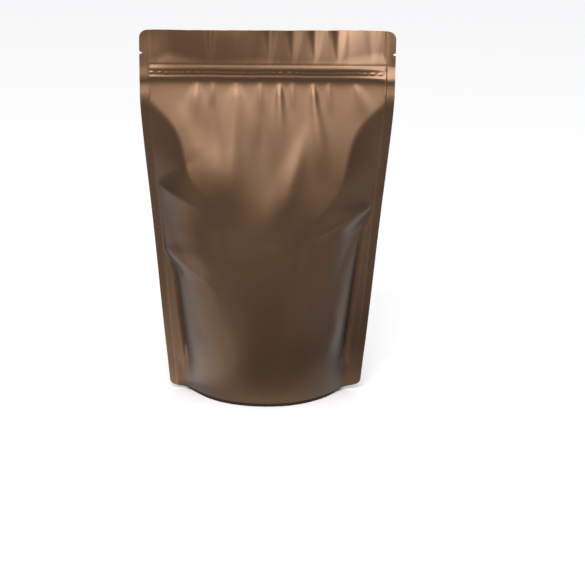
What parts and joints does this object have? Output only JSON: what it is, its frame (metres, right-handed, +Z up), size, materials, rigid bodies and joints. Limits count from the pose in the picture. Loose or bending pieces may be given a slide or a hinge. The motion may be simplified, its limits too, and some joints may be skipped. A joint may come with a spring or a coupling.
{
  "type": "stand-up pouch",
  "caption": "Filled, shut stand-up pouch of satin bronze film, with a press-to-close zip, tear notches, sealed sides and a bottom gusset that it stands on.",
  "frame": {"origin": "on the floor, at the middle of the base", "axes": "+Z up to the header, +X along the width, -Y out of the front panel"},
  "size_m": [0.2118, 0.085, 0.3155],
  "materials": {
    "bronze_film": "satin bronze metallised laminate, heat sealed at the edges"
  },
  "bodies": {
    "root": {"pouch": "bronze_film"}
  },
  "joints": []
}
